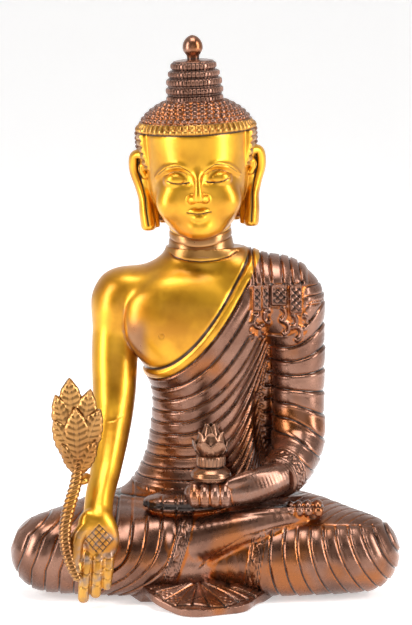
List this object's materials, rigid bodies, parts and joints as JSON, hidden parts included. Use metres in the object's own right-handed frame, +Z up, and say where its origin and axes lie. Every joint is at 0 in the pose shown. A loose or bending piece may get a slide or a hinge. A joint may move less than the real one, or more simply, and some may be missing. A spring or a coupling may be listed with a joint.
{
  "type": "buddha statue",
  "caption": "Seated cast-brass figure with folded legs, one arm hanging over the shin, a bowl in the lap, a leafy sprig, a pleated robe and a stepped hair knot; hollow, pinned and brazed",
  "frame": {"origin": "on the ground under the middle of the figure", "axes": "+Z up through the head, +X towards the figure's left hand, +Y towards its back; the face looks along -Y"},
  "size_m": [0.1384, 0.0918, 0.2026],
  "materials": {
    "lower_body": "antique lacquer",
    "base_plate": "rolled sheet",
    "base_screws": "turned",
    "torso": "antique lacquer",
    "pins": "filed",
    "right_arm": "satin",
    "left_arm": "antique lacquer",
    "right_hand": "satin",
    "left_hand": "satin",
    "head": "satin",
    "hair_knot": "antique lacquer",
    "finial": "satin",
    "medicine_bowl": "satin",
    "bowl_bud": "satin",
    "sprig_stem": "satin",
    "sprig_leaves": "satin"
  },
  "bodies": {
    "root": {"lower_body": "lower_body", "base_plate": "base_plate", "base_screws": "base_screws", "torso": "torso", "waist_pins": "pins", "right_arm": "right_arm", "left_arm": "left_arm", "arm_cotters": "pins", "right_hand": "right_hand", "left_hand": "left_hand", "head": "head", "neck_pin": "pins", "hair_knot": "hair_knot", "finial": "finial", "medicine_bowl": "medicine_bowl", "bowl_bud": "bowl_bud", "sprig_stem": "sprig_stem", "sprig_leaves": "sprig_leaves"}
  },
  "joints": []
}
